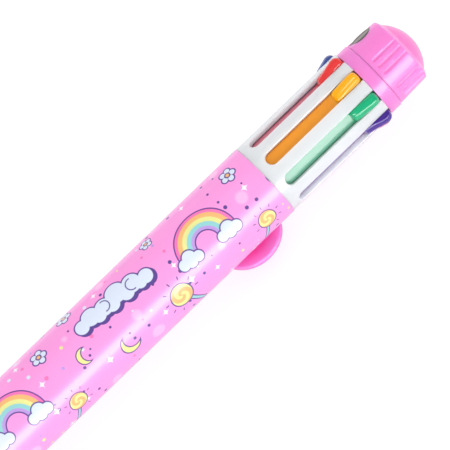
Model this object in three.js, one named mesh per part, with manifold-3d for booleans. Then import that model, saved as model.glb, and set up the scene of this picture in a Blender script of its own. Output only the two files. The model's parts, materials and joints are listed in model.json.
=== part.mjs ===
// A multicolour click pen: eight sliders in the slots of a white barrel, each pushing its own refill down.
// Sizes are millimetres. The pen lies along X with its cap at +X, +Z is up, and the clip is underneath.
// A place along the pen is measured from the nose's open end, and a radius from the pen's axis.
import * as THREE from "three";
import { mergeVertices } from "three/addons/utils/BufferGeometryUtils.js";
import Module from "manifold-3d";

const wasm = await Module();
wasm.setup();

// Driving dimensions along the pen
const penLength = 147;
const noseLength = 22;
const capLength = 9.1;
const collarLength = 2.5;
const slotLength = 21.7;
const whiteBand = 1.9;
const sliderTravel = 13;
const pointReach = 2.4;
const pointLength = 6;
const headLength = 5.7;
const stemBelowSlot = 3.7;
const pushedSpring = 8;
const seatThickness = 2;
const clipLength = 40.65;

// Driving dimensions across the pen
const barrelRadius = 7.22;
const barrelWall = 0.87;
const filmThickness = 0.15;
const filmStep = 0.06;
const seatLedge = 0.25;
const sliderLedge = 1.45;
const collarSetback = 0.35;
const collarWall = 0.65;
const spigotWall = 0.8;
const capSetback = 0.5;
const headRise = 1.13;
const sliderWidth = 2.3;
const stemRecess = 1.07;
const stemDepth = 1.65;
const clipDiscRadius = 6.4;
const clipWidth = 4;
const clipThickness = 1.2;
const clipGap = 0.58;
const exitRadius = 1.35;
const wireRadius = 0.14;
const tubeWall = 0.28;
const catchHeight = 0.3;
const refillRingShare = 0.725;
const tipRingShare = 0.72;

// Clearances
const slotPlay = 0.1;
const fitPlay = 0.1;
const pressPlay = 0.05;
const seamPlay = 0.05;
const filmPlay = 0.03;
const springPlay = 0.13;
const holePlay = 0.18;
const catchPlay = 0.15;
const spindlePlay = 0.4;
const endPlay = 0.15;
const overrun = 1;

// Places round the pen, in steps from the top toward +Y: eight sliders, and the clip in the ninth place
const placeCount = 9;
const placePitch = 360 / placeCount;
const halfPitch = Math.PI / placeCount;
const underneath = 180;
const sliderPlaces = [
  { colour: "red", steps: 0.5, shade: 0xe12d37 },
  { colour: "orange", steps: -0.5, shade: 0xffa51c },
  { colour: "blue", steps: 1.5, shade: 0x3a5bb8 },
  { colour: "green", steps: -1.5, shade: 0x14af6e },
  { colour: "sky", steps: 2.5, shade: 0x43b4e6 },
  { colour: "purple", steps: -2.5, shade: 0x693ca8 },
  { colour: "black", steps: 3.5, shade: 0x26262b },
  { colour: "pink", steps: -3.5, shade: 0xf06ab4 },
];

// How finely round pieces are faceted, and how a spring is wound
const roundSides = 48;
const innerSides = 24;
const smallSides = 12;
const wireSides = 5;
const curlSteps = 8;
const springCurls = 6;

// Places along the pen
const collarTop = penLength - capLength;
const barrelTop = collarTop - collarLength;
const slotLow = barrelTop - slotLength;
const sleeveTop = slotLow - whiteBand;
const headTop = barrelTop - endPlay;
const headLow = headTop - headLength;
const stemLow = slotLow - stemBelowSlot;
const springLength = sliderTravel + pushedSpring;
const seatTop = stemLow - springLength;
const seatLow = seatTop - seatThickness;
const tipPlace = sliderTravel - pointReach;

// Radii of the barrel, of what stands on it and of what it holds
const collarRadius = barrelRadius - collarSetback;
const capRadius = barrelRadius - capSetback;
const headRadius = barrelRadius + headRise;
const clipInner = barrelRadius + clipGap;
const clipRadius = clipInner + clipThickness;
const boreRadius = barrelRadius - barrelWall;
const lowerBore = boreRadius - seatLedge;
const ledgeRadius = boreRadius - sliderLedge;
const filmSeatRadius = barrelRadius + filmStep - filmThickness - filmPlay;
const spigotRadius = collarRadius - collarWall;
const spigotBore = spigotRadius - spigotWall;
const slotWidth = sliderWidth + 2 * slotPlay;
const stemOuter = barrelRadius - stemRecess;
const stemInner = stemOuter - stemDepth;

// A refill runs from its slider's pin toward the middle of the nose. Its spring has least room at the seat.
const refillRing = boreRadius * refillRingShare;
const tipRing = refillRing * tipRingShare;
const refillLength = Math.hypot(stemLow - tipPlace, refillRing - tipRing);
const refillLean = Math.asin((refillRing - tipRing) / refillLength);
const pushedLean = Math.asin(refillRing / refillLength);
const seatRing = refillRing - (stemLow - seatTop) * Math.tan(refillLean);
const pushedSeatRing = refillRing - (stemLow - sliderTravel - seatLow) * Math.tan(pushedLean);
const springOuter = seatRing * Math.sin(halfPitch) - springPlay / 2;
const springMean = springOuter - wireRadius;
const tubeRadius = springMean - wireRadius - springPlay;
const tubeBore = tubeRadius - tubeWall;

// The spindle fills what the springs leave free. Its catch ring passes just inside the sliders' lugs.
const spindleRadius = seatRing - springOuter - spindlePlay;
const catchRadius = spindleRadius + catchHeight;
const lugRadius = catchRadius + catchPlay;
const lugSetback = 0.4;
const lugLength = 2;
const lugTop = headLow - lugSetback;
const spindlePinStep = 0.9;
const spindlePinRadius = spindleRadius - spindlePinStep;
const capSpigotLength = 1.2;
const capSpigotLow = collarTop - capSpigotLength;

// The clip's root lies in the collar's height, and its disc at the other end of the arm
const rootHalf = 0.9;
const rootPlace = (barrelTop + collarTop) / 2;
const rootTop = rootPlace + rootHalf;
const rootInner = spigotBore + fitPlay;
const discPlace = rootTop - clipLength + clipDiscRadius;
const notchHalf = clipWidth / 2 + slotPlay;
const notchFloor = Math.sqrt(spigotBore ** 2 - notchHalf ** 2) - fitPlay;

// The cap's badge lies in a round flat, between the red and the blue slider
const badgeSteps = 1.15;
const badgeOffset = 2.75;
const badgeRadius = 2.3;
const badgeRim = 0.35;
const badgeRise = 0.35;
const badgeSink = 0.08;
const badgeDepth = 0.7;
const badgePlace = collarTop + badgeOffset;
const badgeSeat = badgeRadius + badgeRim;
const badgeTop = Math.sqrt(capRadius ** 2 - badgeSeat ** 2) + badgeRise;
const badgeFloor = badgeTop - badgeDepth;
const badgeAngle = badgeSteps * placePitch;

// Where a solid's own X, Y and Z point when it is extruded sideways, along the pen or upward
const sideways = [[1, 0, 0], [0, 0, 1], [0, -1, 0]];
const alongPen = [[0, 1, 0], [0, 0, 1], [1, 0, 0]];
const upward = [[1, 0, 0], [0, 1, 0], [0, 0, 1]];

// A solid from a closed geometry: shared corners are merged and empty triangles dropped.
function solid(geometry) {
  const mergeDistance = 1e-4;
  geometry.deleteAttribute("normal");
  geometry.deleteAttribute("uv");
  const merged = mergeVertices(geometry, mergeDistance);
  const corners = merged.index.array;
  const kept = [];
  for (let i = 0; i < corners.length; i += 3) {
    const [a, b, c] = corners.slice(i, i + 3);
    if (a !== b && b !== c && c !== a) kept.push(a, b, c);
  }
  return new wasm.Manifold(new wasm.Mesh({
    numProp: 3,
    vertProperties: new Float32Array(merged.attributes.position.array),
    triVerts: new Uint32Array(kept),
  }));
}

// Turns an outline of [radius, place] points about the pen's axis, up its outside and down its inside.
function turned(outline, sides = roundSides) {
  const points = outline.map(([radius, place]) => new THREE.Vector2(radius, place));
  const lathe = new THREE.LatheGeometry([...points, points[0]], sides);
  return solid(lathe.rotateZ(-Math.PI / 2));
}

// Extrudes a flat shape between two depths, with its own axes turned to the given directions.
function extruded(shape, low, high, directions, curveSegments) {
  const depth = high - low;
  const geometry = new THREE.ExtrudeGeometry(shape, { depth, bevelEnabled: false, curveSegments });
  geometry.translate(0, 0, low);
  const axes = directions.map((direction) => new THREE.Vector3(...direction));
  return solid(geometry.applyMatrix4(new THREE.Matrix4().makeBasis(...axes)));
}

// A block between two corners.
function block([x0, y0, z0], [x1, y1, z1]) {
  const box = new THREE.BoxGeometry(x1 - x0, y1 - y0, z1 - z0);
  return solid(box.translate((x0 + x1) / 2, (y0 + y1) / 2, (z0 + z1) / 2));
}

// A round bar along the pen between two places, with its middle at a height above the axis.
function bar(radius, low, high, height, sides) {
  const cylinder = new THREE.CylinderGeometry(radius, radius, high - low, sides);
  return solid(cylinder.rotateZ(-Math.PI / 2).translate((low + high) / 2, 0, height));
}

// A round post that stands out from the axis at a place along the pen, between two radii.
function post(radius, place, inner, outer, sides) {
  const cylinder = new THREE.CylinderGeometry(radius, radius, outer - inner, sides);
  return solid(cylinder.rotateX(Math.PI / 2).translate(place, 0, (inner + outer) / 2));
}

// Turns a solid made at the top of the pen to an angle toward +Y, in degrees.
function turnedTo(body, angle) {
  return body.rotate([-angle, 0, 0]);
}

// One copy of a solid for each slider's place.
function atSliders(body) {
  return sliderPlaces.map(({ steps }) => turnedTo(body, steps * placePitch));
}

function plastic(color, roughness = 0.3) {
  return new THREE.MeshStandardMaterial({ color, roughness, metalness: 0 });
}

function metal(color, roughness) {
  return new THREE.MeshStandardMaterial({ color, roughness, metalness: 1 });
}

const whitePlastic = plastic(0xe8eef5, 0.25);
const pinkPlastic = plastic(0xff87d7, 0.35);
const pinkFilm = plastic(0xffa0e4);
const clipPlastic = plastic(0xff46aa);
const naturalPlastic = plastic(0xe6e6e0, 0.5);
const tubePlastic = plastic(0xf0f0ee, 0.4);
const badgeMetal = metal(0xa09a9c, 0.35);
const brass = metal(0xc8a25a, 0.35);
const springSteel = metal(0xb8bcc2, 0.3);

const pen = new THREE.Group();
pen.position.set(-penLength / 2, 0, clipRadius);

// Adds a named piece to its group.
function addPiece(name, body, material, parent = pen) {
  const { vertProperties, triVerts } = body.getMesh();
  const geometry = new THREE.BufferGeometry();
  geometry.setAttribute("position", new THREE.BufferAttribute(vertProperties, 3));
  geometry.setIndex(new THREE.BufferAttribute(triVerts, 1));
  geometry.computeVertexNormals();
  const mesh = new THREE.Mesh(geometry, material);
  mesh.name = name;
  parent.add(mesh);
}

// The white barrel: a tube with a ledge for the spring seat, and a spigot that carries the collar and cap.
function barrel() {
  const ledgeLength = 1.5;
  const spigotTop = collarTop - endPlay;
  const tube = turned([
    [lowerBore, noseLength],
    [filmSeatRadius, noseLength],
    [filmSeatRadius, sleeveTop + seamPlay],
    [barrelRadius, sleeveTop + seamPlay],
    [barrelRadius, barrelTop],
    [spigotRadius, barrelTop],
    [spigotRadius, spigotTop],
    [spigotBore, spigotTop],
    [spigotBore, barrelTop],
    [ledgeRadius, barrelTop],
    [ledgeRadius, barrelTop - ledgeLength],
    [boreRadius, barrelTop - 2 * ledgeLength],
    [boreRadius, seatLow],
    [lowerBore, seatLow],
  ]);
  const half = slotWidth / 2;
  const slotTop = barrelTop + fitPlay;
  const slot = new THREE.Shape();
  slot.moveTo(slotTop, -half);
  slot.lineTo(slotTop, half);
  slot.lineTo(slotLow + half, half);
  slot.absarc(slotLow + half, 0, half, Math.PI / 2, Math.PI * 1.5, false);
  slot.closePath();
  const cutter = extruded(slot, stemInner - fitPlay, headRadius, upward, 8);
  const notch = block([barrelTop + seamPlay, -notchHalf, notchFloor], [collarTop, notchHalf, barrelRadius]);
  return wasm.Manifold.difference([tube, ...atSliders(cutter), turnedTo(notch, underneath)]);
}

// The printed film that wraps the barrel from its nose end to the white band.
function printSleeve() {
  const inner = filmSeatRadius + filmPlay;
  const low = noseLength + fitPlay;
  return turned([
    [inner, low],
    [inner + filmThickness, low],
    [inner + filmThickness, sleeveTop],
    [inner, sleeveTop],
  ]);
}

// The nose: a hollow ogive with a funnel that leads each point to the middle, and a spigot into the barrel.
function noseCone() {
  const rimWall = 0.55;
  const wall = 0.85;
  const exitLength = 1.5;
  const spigotLength = 6.5;
  const steps = 7;
  const fullness = 0.9;
  const rimRadius = exitRadius + rimWall;
  const backRadius = filmSeatRadius - fitPlay;
  const backPlace = noseLength - fitPlay;
  const outside = [];
  for (let i = 0; i <= steps; i += 1) {
    const share = i / steps;
    const swell = Math.sin(share * Math.PI / 2) ** fullness;
    outside.push([rimRadius + (backRadius - rimRadius) * swell, share * backPlace]);
  }
  const spigot = lowerBore - pressPlay;
  const hollow = spigot - wall;
  return turned([
    [exitRadius, 0],
    ...outside,
    [spigot, backPlace],
    [spigot, noseLength + spigotLength],
    [hollow, noseLength + spigotLength],
    [hollow, (tipPlace + noseLength) / 2],
    [tipRing + tubeRadius, tipPlace],
    [exitRadius, exitLength],
  ]);
}

// The ring between the barrel and the cap, cut through where the clip's root lies.
function clipCollar() {
  const chamfer = 0.1;
  const inner = spigotRadius + pressPlay;
  const low = barrelTop + seamPlay;
  const high = collarTop - seamPlay;
  const ring = turned([
    [inner, low],
    [collarRadius, low],
    [collarRadius, high - chamfer],
    [collarRadius - chamfer, high],
    [inner, high],
  ]);
  const notch = block([low - overrun, -notchHalf, notchFloor], [high + overrun, notchHalf, clipRadius]);
  return ring.subtract(turnedTo(notch, underneath));
}

// The cap: a ribbed knob with a domed end, a hollow for the spindle and a spigot into the barrel.
function endCap() {
  const wall = 1;
  const roof = 1.5;
  const lowChamfer = 0.1;
  const knobTaper = 0.22;
  const kneeLength = 0.6;
  const domeHeight = 2.2;
  const domeShare = 0.79;
  const domeSteps = 6;
  const spigotOuter = spigotBore - fitPlay;
  const hollow = spigotOuter - wall;
  const low = collarTop + seamPlay;
  const domePlace = penLength - domeHeight;
  const domeRadius = capRadius * domeShare;
  const domeCurve = (domeRadius ** 2 + domeHeight ** 2) / (2 * domeHeight);
  const domeReach = Math.asin(domeRadius / domeCurve);
  const dome = [];
  for (let i = domeSteps; i > 0; i -= 1) {
    const angle = (i / domeSteps) * domeReach;
    dome.push([domeCurve * Math.sin(angle), penLength - domeCurve * (1 - Math.cos(angle))]);
  }
  const knob = turned([
    [hollow, capSpigotLow],
    [spigotOuter, capSpigotLow],
    [spigotOuter, low],
    [capRadius - lowChamfer, low],
    [capRadius, low + lowChamfer],
    [capRadius - knobTaper, domePlace - kneeLength],
    ...dome,
    [0, penLength],
    [0, penLength - roof],
    [hollow, domePlace - roof],
  ]);

  // Three grooves side by side, on five flanks of the knob, and on the sixth the badge in a round flat
  const grooveRadius = 0.42;
  const plainLength = 0.9;
  const groovePitch = 12;
  const flankCount = 5;
  const flankPitch = 56;
  const firstFlank = 78;
  const groove = bar(grooveRadius, low + plainLength, penLength, capRadius, smallSides);
  const cuts = [];
  for (let flank = 0; flank < flankCount; flank += 1) {
    const angle = badgeAngle - firstFlank - flank * flankPitch;
    for (let side = -1; side <= 1; side += 1) {
      cuts.push(turnedTo(groove, angle + side * groovePitch));
    }
  }
  const flat = post(badgeSeat, badgePlace, badgeTop, capRadius + overrun, innerSides);
  const pocket = post(badgeRadius + fitPlay, badgePlace, badgeFloor, capRadius + overrun, innerSides);
  const rim = post(badgeSeat, badgePlace, badgeFloor, badgeTop, innerSides);
  cuts.push(turnedTo(flat, badgeAngle), turnedTo(pocket, badgeAngle));
  return wasm.Manifold.difference([knob.add(turnedTo(rim, badgeAngle)), ...cuts]);
}

// The grey badge set into the cap's side.
function capBadge() {
  const badge = post(badgeRadius, badgePlace, badgeFloor + seamPlay, badgeTop - badgeSink, innerSides);
  return turnedTo(badge, badgeAngle);
}

// The clip: an arm along the pen that ends in a flat disc, with a root that hooks into the collar's notch.
function pocketClip() {
  const half = clipWidth / 2;
  const meet = Math.asin(half / clipDiscRadius);
  const outline = new THREE.Shape();
  outline.moveTo(rootTop, -half);
  outline.lineTo(rootTop, half);
  outline.absarc(discPlace, 0, clipDiscRadius, meet, 2 * Math.PI - meet, false);
  outline.closePath();
  const plate = extruded(outline, clipInner, clipRadius, upward, 24);
  const root = block([rootPlace - rootHalf, -half, rootInner], [rootTop, half, clipRadius]);
  return turnedTo(plate.add(root), underneath);
}

// The spindle that the sliders run along. Its flange lies on the barrel's ledge, under the cap's spigot.
function sliderCore() {
  const pinOverhang = 1;
  const catchLength = 1.2;
  const postLength = 1.2;
  const flangeRadius = spigotBore - slotPlay;
  const flangeLow = barrelTop + fitPlay;
  const flangeTop = capSpigotLow - seamPlay;
  const pinTop = seatTop + seamPlay;
  const catchLow = lugTop - sliderTravel + endPlay;
  return turned([
    [0, seatLow - pinOverhang],
    [spindlePinRadius, seatLow - pinOverhang],
    [spindlePinRadius, pinTop],
    [spindleRadius, pinTop],
    [spindleRadius, catchLow],
    [catchRadius, catchLow],
    [spindleRadius, catchLow + catchLength],
    [spindleRadius, flangeLow],
    [flangeRadius, flangeLow],
    [flangeRadius, flangeTop],
    [spindleRadius, flangeTop],
    [spindleRadius, collarTop + postLength],
    [0, collarTop + postLength],
  ], innerSides);
}

// The disc that the springs stand on, with a hole for each refill and one for the spindle's pin.
function springSeat() {
  const outer = boreRadius - pressPlay;
  const pinHole = spindlePinRadius + fitPlay;
  const low = seatLow + seamPlay;
  const disc = turned([
    [pinHole, low],
    [outer, low],
    [outer, seatTop],
    [pinHole, seatTop],
  ]);
  const holeRing = (seatRing + pushedSeatRing) / 2;
  const hole = bar(tubeRadius + holePlay, seatLow - overrun, seatTop + overrun, holeRing, smallSides);
  return wasm.Manifold.difference([disc, ...atSliders(hole)]);
}

// A slider's push head: a bar with a gently crowned top that rises toward the cap.
function pushHead() {
  const half = sliderWidth / 2;
  const backSlope = 0.3;
  const peakLength = 1;
  const ridgeDrop = 0.25;
  const toeLength = 0.5;
  const toeSink = 0.15;
  const ridgeShare = 0.93;
  const backPlace = headTop - backSlope;
  const side = new THREE.Shape();
  side.moveTo(headLow, stemOuter - fitPlay);
  side.lineTo(headTop, stemOuter - fitPlay);
  side.lineTo(headTop, barrelRadius);
  side.lineTo(backPlace, headRadius - ridgeDrop);
  side.quadraticCurveTo(backPlace - toeSink, headRadius, backPlace - peakLength, headRadius);
  side.lineTo(headLow + toeLength, barrelRadius - toeSink);
  side.closePath();
  const wedge = extruded(side, -half, half, sideways, 4);
  const ridge = half * ridgeShare;
  const section = new THREE.Shape();
  section.moveTo(-half, stemInner);
  section.lineTo(half, stemInner);
  section.lineTo(half, barrelRadius - toeSink);
  section.lineTo(ridge, headRadius - ridgeDrop);
  section.quadraticCurveTo(ridge * ridgeShare, headRadius, 0, headRadius);
  section.quadraticCurveTo(-ridge * ridgeShare, headRadius, -ridge, headRadius - ridgeDrop);
  section.lineTo(-half, barrelRadius - toeSink);
  section.closePath();
  return wedge.intersect(extruded(section, headLow - overrun, headTop + overrun, alongPen, 3));
}

// A slider: the bar in the slot, its push head, a lug for the catch and a shouldered pin for the refill.
function slider() {
  const shoulderLength = 1.6;
  const pinLength = 2.5;
  const pinPlay = 0.22;
  const half = sliderWidth / 2;
  const stem = block([stemLow, -half, stemInner], [headTop, half, stemOuter]);
  const shoulder = bar(springOuter - seamPlay, stemLow, stemLow + shoulderLength, refillRing, smallSides);
  const pin = bar(tubeBore - pinPlay, stemLow - pinLength, stemLow + seamPlay, refillRing, smallSides);
  const lugHalf = lugRadius * Math.sin(halfPitch) - endPlay;
  const lug = block([lugTop - lugLength, -lugHalf, lugRadius], [lugTop, lugHalf, stemInner + seamPlay]);
  return wasm.Manifold.union([stem, pushHead(), shoulder, pin, lug]);
}

// A refill lies along its own X axis, with the middle of its open end at the origin and its point at -X.
function refillTube() {
  const low = -refillLength + pointLength + seamPlay;
  const high = -fitPlay;
  return turned([
    [tubeBore, low],
    [tubeRadius, low],
    [tubeRadius, high],
    [tubeBore, high],
  ], smallSides);
}

// The brass point, with a plug that is pressed into the tube.
function refillPoint() {
  const tipRadius = 0.36;
  const tipLength = 0.4;
  const neckRadius = 0.4;
  const neckLength = 2;
  const coneRadius = 0.62;
  const coneSetback = 2.5;
  const bandLength = 0.8;
  const plugLength = 3;
  const plugPlay = 0.06;
  const tip = -refillLength;
  const back = tip + pointLength - seamPlay;
  return turned([
    [0, tip],
    [tipRadius, tip + tipLength],
    [neckRadius, tip + neckLength],
    [coneRadius, tip + coneSetback],
    [tubeRadius, back - bandLength],
    [tubeRadius, back],
    [tubeBore - plugPlay, back],
    [tubeBore - plugPlay, back + plugLength],
    [0, back + plugLength],
  ], smallSides);
}

// A point of a spring's middle line, so many curls down from its high end.
function springPoint(curl, high, low) {
  const angle = curl * 2 * Math.PI;
  const place = high + (low - high) * curl / springCurls;
  return new THREE.Vector3(place, springMean * Math.cos(angle), springMean * Math.sin(angle));
}

// A return spring: round wire wound round the refill, from the slider's shoulder down to the seat.
function returnSpring() {
  const high = -fitPlay - wireRadius;
  const low = -springLength / Math.cos(refillLean) + fitPlay + wireRadius;
  const rings = springCurls * curlSteps + 1;
  const points = [];
  for (let i = 0; i < rings; i += 1) {
    const middle = springPoint(i / curlSteps, high, low);
    const outward = new THREE.Vector3(0, middle.y, middle.z).normalize();
    for (let j = 0; j < wireSides; j += 1) {
      const angle = (j / wireSides) * 2 * Math.PI;
      const corner = middle.clone().addScaledVector(outward, wireRadius * Math.cos(angle));
      corner.x -= wireRadius * Math.sin(angle);
      points.push(...corner.toArray());
    }
  }
  const corners = [];
  for (let i = 0; i < rings - 1; i += 1) {
    for (let j = 0; j < wireSides; j += 1) {
      const a = i * wireSides + j;
      const b = i * wireSides + (j + 1) % wireSides;
      corners.push(a, b, a + wireSides, b, b + wireSides, a + wireSides);
    }
  }
  const last = (rings - 1) * wireSides;
  for (let j = 1; j < wireSides - 1; j += 1) {
    corners.push(0, j + 1, j);
    corners.push(last, last + j, last + j + 1);
  }
  const wire = new THREE.BufferGeometry();
  wire.setAttribute("position", new THREE.Float32BufferAttribute(points, 3));
  wire.setIndex(corners);
  return solid(wire);
}

// The least gap between a spring's curls, measured on points of the wire's middle line.
function leastCurlGap() {
  let least = Infinity;
  for (let i = 0; i <= (springCurls - 1) * curlSteps; i += 1) {
    const here = springPoint(i / curlSteps, 0, -springLength);
    for (let j = i + curlSteps / 2; j <= springCurls * curlSteps; j += 1) {
      least = Math.min(least, here.distanceTo(springPoint(j / curlSteps, 0, -springLength)));
    }
  }
  return least - 2 * wireRadius;
}

addPiece("barrel", barrel(), whitePlastic);
addPiece("print_sleeve", printSleeve(), pinkFilm);
addPiece("nose_cone", noseCone(), pinkPlastic);
addPiece("clip_collar", clipCollar(), pinkPlastic);
addPiece("end_cap", endCap(), pinkPlastic);
addPiece("cap_badge", capBadge(), badgeMetal);
addPiece("pocket_clip", pocketClip(), clipPlastic);
addPiece("slider_core", sliderCore(), naturalPlastic);
addPiece("spring_seat", springSeat(), naturalPlastic);

const sliderBody = slider();
const tubeBody = refillTube();
const pointBody = refillPoint();
const springBody = returnSpring();
for (const { colour, steps, shade } of sliderPlaces) {
  const place = new THREE.Group();
  place.rotation.x = -steps * THREE.MathUtils.degToRad(placePitch);
  pen.add(place);
  addPiece(`slider_${colour}`, sliderBody, plastic(shade, 0.2), place);
  const lean = new THREE.Group();
  lean.position.set(stemLow, 0, refillRing);
  lean.rotation.y = -refillLean;
  place.add(lean);
  addPiece(`refill_tube_${colour}`, tubeBody, tubePlastic, lean);
  addPiece(`refill_point_${colour}`, pointBody, brass, lean);
  addPiece(`return_spring_${colour}`, springBody, springSteel, lean);
}
console.log(`least gap between a spring's curls: ${leastCurlGap().toFixed(2)} mm`);

export default pen;
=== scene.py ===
import json
from functools import reduce
from math import asin, atan2, copysign, cos, exp, hypot, pi, radians, remainder, sin, sqrt, tan, tau

import bmesh
import bpy
from mathutils import Matrix, Vector


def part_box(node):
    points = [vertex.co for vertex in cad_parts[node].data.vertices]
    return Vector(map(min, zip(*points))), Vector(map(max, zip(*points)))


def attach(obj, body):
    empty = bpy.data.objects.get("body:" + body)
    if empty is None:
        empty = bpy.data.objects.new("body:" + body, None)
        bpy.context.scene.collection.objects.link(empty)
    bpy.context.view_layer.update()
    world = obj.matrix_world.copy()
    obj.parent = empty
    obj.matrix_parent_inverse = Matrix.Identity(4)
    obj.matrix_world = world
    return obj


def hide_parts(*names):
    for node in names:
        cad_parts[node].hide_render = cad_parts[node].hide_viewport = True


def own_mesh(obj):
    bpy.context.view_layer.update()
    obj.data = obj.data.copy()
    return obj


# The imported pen, and its box before it is dressed
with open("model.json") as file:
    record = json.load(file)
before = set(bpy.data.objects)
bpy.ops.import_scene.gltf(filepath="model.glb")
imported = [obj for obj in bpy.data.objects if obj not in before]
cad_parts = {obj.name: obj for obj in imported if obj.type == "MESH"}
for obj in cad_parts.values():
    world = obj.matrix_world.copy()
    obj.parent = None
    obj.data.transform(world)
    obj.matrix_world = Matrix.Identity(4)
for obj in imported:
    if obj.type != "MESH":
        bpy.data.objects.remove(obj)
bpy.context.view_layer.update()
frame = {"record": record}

# Places along the pen are in mm from the nose's open end, radii and heights in mm from its axis
MM = 0.001
NOSE_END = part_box("nose_cone")[0].x
AXIS = sum(corner.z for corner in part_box("print_sleeve")) / 2


def ends(node):
    """Where a node starts and ends along the pen."""
    low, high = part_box(node)
    return (low.x - NOSE_END) / MM, (high.x - NOSE_END) / MM


def reach(node):
    """How far a round node reaches from the pen's axis."""
    low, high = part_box(node)
    return (high.y - low.y) / 2 / MM


# The room between pieces that sit close together, and between those with a little play
FIT = 0.05
PLAY = 0.1

# The barrel and what it carries
FILM_LOW, FILM_TOP = ends("print_sleeve")
FILM_RADIUS = reach("print_sleeve")
FILM_THICKNESS = 0.15
FILM_SEAT = FILM_RADIUS - FILM_THICKNESS - 0.03
BARREL_RADIUS = 7.22
BARREL_BORE = 6.35
LOWER_BORE = 6.1
LEDGE_RADIUS = 4.9
BARREL_LOW = ends("barrel")[0]
BARREL_TOP = ends("clip_collar")[0] - FIT
COLLAR_TOP = ends("clip_collar")[1] + FIT
COLLAR_RADIUS = reach("clip_collar")
SPIGOT_RADIUS = COLLAR_RADIUS - 0.65
SPIGOT_BORE = SPIGOT_RADIUS - 0.8
SPIGOT_TOP = ends("barrel")[1]
CAP_RADIUS = 6.72
PEN_TOP = ends("end_cap")[1]
DOME_RISE = 2.2
DOME_PLACE = PEN_TOP - DOME_RISE
CAP_LOW = COLLAR_TOP + FIT
CAP_SPIGOT_LOW = ends("end_cap")[0]
SLOT_LENGTH = 21.7
SLOT_WIDTH = 2.5
SLOT_LOW = BARREL_TOP - SLOT_LENGTH
SLOT_FLOOR = 4.4

# The sliders: steps round the pen from the top toward +Y, with the clip in the ninth place,
# how deep the head lies, as far as the play in its slot lets it tilt, the head's tone, and the bar's tone,
# painted paler for light that shines through the thin bar
PLACE_PITCH = tau / 9
SLIDERS = {
    "red": (0.5, 0.15, (236, 56, 56), (214, 110, 130)),
    "orange": (-0.5, 0, (255, 178, 6), (255, 156, 6)),
    "blue": (1.5, 0.35, (70, 88, 160), (120, 140, 205)),
    "green": (-1.5, 0, (8, 182, 126), (98, 176, 144)),
    "sky": (2.5, 0, (67, 180, 230), (165, 215, 240)),
    "purple": (-2.5, 0, (68, 28, 146), (196, 182, 226)),
    "black": (3.5, 0, (38, 38, 43), (70, 70, 78)),
    "pink": (-3.5, 0.45, (240, 106, 180), (250, 180, 215)),
}
STEM_TOP = ends("slider_red")[1]
END_PLAY = BARREL_TOP - STEM_TOP
SLIDER_LOW = ends("slider_red")[0]
PIN_LENGTH = 2.5
STEM_LOW = SLIDER_LOW + PIN_LENGTH
STEM_OUTER = 6.15
STEM_INNER = 4.5
SLIDER_HALF = 1.15
WING_HALF = 1.65
HEAD_LOW = STEM_TOP - 5.7
HEAD_RADIUS = BARREL_RADIUS + 1.13
LUG_GAP = 0.4

# The refills and their springs, which lean inward from the sliders to the middle of the nose
joints = {joint["name"]: joint for joint in frame["record"]["behaviour"]["joints"]}
pivot = Vector(joints["lean_red"]["pos_m"])
TRAVEL = joints["push_red"]["range_m"][1] / MM
SPRING_FOOT = joints["push_red"]["deforming_nodes"][0]["fixed_end_x_m"]
REFILL_RING = hypot(pivot.y, pivot.z - AXIS) / MM
TIP_RING = REFILL_RING * 0.72
TIP_SHOWS = 2.4
TIP_PLACE = TRAVEL - TIP_SHOWS
REFILL_LENGTH = hypot(STEM_LOW - TIP_PLACE, REFILL_RING - TIP_RING)
REFILL_LEAN = asin((REFILL_RING - TIP_RING) / REFILL_LENGTH)
SEAT_TOP = (SPRING_FOOT - NOSE_END) / MM
SEAT_THICKNESS = 2
SEAT_LOW = SEAT_TOP - SEAT_THICKNESS
SEAT_RING = REFILL_RING - (STEM_LOW - SEAT_TOP) * tan(REFILL_LEAN)
SPRING_LENGTH = STEM_LOW - SEAT_TOP
SPRING_OUTER = SEAT_RING * sin(PLACE_PITCH / 2) - 0.065
WIRE_RADIUS = 0.14
SPRING_MEAN = SPRING_OUTER - WIRE_RADIUS
TUBE_RADIUS = SPRING_MEAN - WIRE_RADIUS - 0.13
TUBE_BORE = TUBE_RADIUS - 0.28
POINT_LENGTH = 6
SPINDLE_RADIUS = SEAT_RING - SPRING_OUTER - 0.4

# The clip and the badge
CLIP_RADIUS = AXIS / MM
CLIP_THICKNESS = 1.2
CLIP_INNER = CLIP_RADIUS - CLIP_THICKNESS
CLIP_HALF = 2
CLIP_LOW, CLIP_TOP = ends("pocket_clip")
DISC_RADIUS = reach("pocket_clip")
DISC_PLACE = CLIP_LOW + DISC_RADIUS
NOTCH_HALF = CLIP_HALF + PLAY
BADGE_PLACE = COLLAR_TOP + 2.75
BADGE_ANGLE = 1.15 * PLACE_PITCH
BADGE_RADIUS = 2.3
BADGE_SEAT = 2.65
BADGE_TOP = sqrt(CAP_RADIUS ** 2 - BADGE_SEAT ** 2) + 0.35
BADGE_FLOOR = BADGE_TOP - 0.7

# The photograph's view: the line along the pen that faces the camera, and how far the cap tips away
FACING = radians(35.65)
TIP_BACK = radians(3)
ROLL = radians(44)
CAMERA_DISTANCE = 1.2
LENS = 559


def at(place, height=0.0, across=0.0):
    """A point in the pen's frame, in metres."""
    return Vector((NOSE_END + place * MM, across * MM, AXIS + height * MM))


# Ways of working with Blender's operators


def deselect():
    """Leaves edit mode and deselects everything."""
    if bpy.context.object and bpy.context.object.mode != "OBJECT":
        bpy.ops.object.mode_set(mode="OBJECT")
    bpy.ops.object.select_all(action="DESELECT")


def only(piece):
    """Makes one piece the selected and active object."""
    deselect()
    piece.select_set(True)
    bpy.context.view_layer.objects.active = piece


def linked(name, data):
    """A new object in the scene."""
    item = bpy.data.objects.new(name, data)
    bpy.context.scene.collection.objects.link(item)
    return item


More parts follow.
